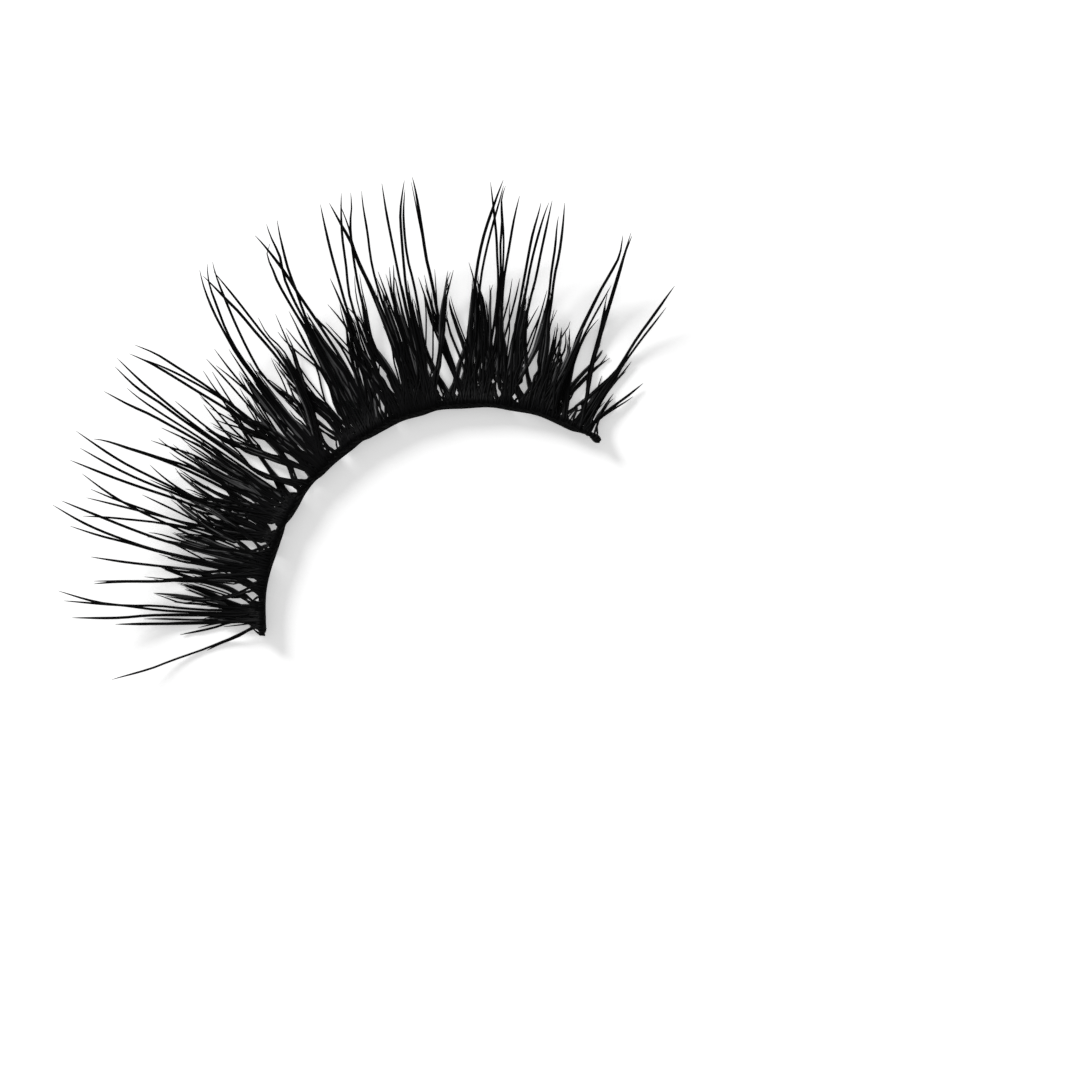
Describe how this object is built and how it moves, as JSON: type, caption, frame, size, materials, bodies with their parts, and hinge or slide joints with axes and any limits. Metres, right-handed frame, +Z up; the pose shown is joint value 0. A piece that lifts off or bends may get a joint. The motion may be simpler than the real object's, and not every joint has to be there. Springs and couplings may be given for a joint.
{
  "type": "false eyelash strip",
  "caption": "False eyelash strip: a curved black cotton band that glues along the eyelid, with knotted tufts of long crossing lashes on its outer edge.",
  "frame": {"origin": "centre of the bounding box in plan, on the surface that the strip lies on", "axes": "+X along the chord from the outer end of the band to its inner end, +Y from the eye outwards along the lashes at the middle of the band, +Z up, the way the lashes curl"},
  "size_m": [0.0484, 0.0248, 0.0048],
  "materials": {
    "cotton_band": "black cotton thread band, lacquered, low sheen",
    "lash_fibre": "black synthetic hair fibre, satin"
  },
  "bodies": {
    "root": {"band": "cotton_band", "tuft_1": "lash_fibre", "tuft_2": "lash_fibre", "tuft_3": "lash_fibre", "tuft_4": "lash_fibre", "tuft_5": "lash_fibre", "tuft_6": "lash_fibre", "tuft_7": "lash_fibre", "tuft_8": "lash_fibre", "tuft_9": "lash_fibre"}
  },
  "joints": []
}
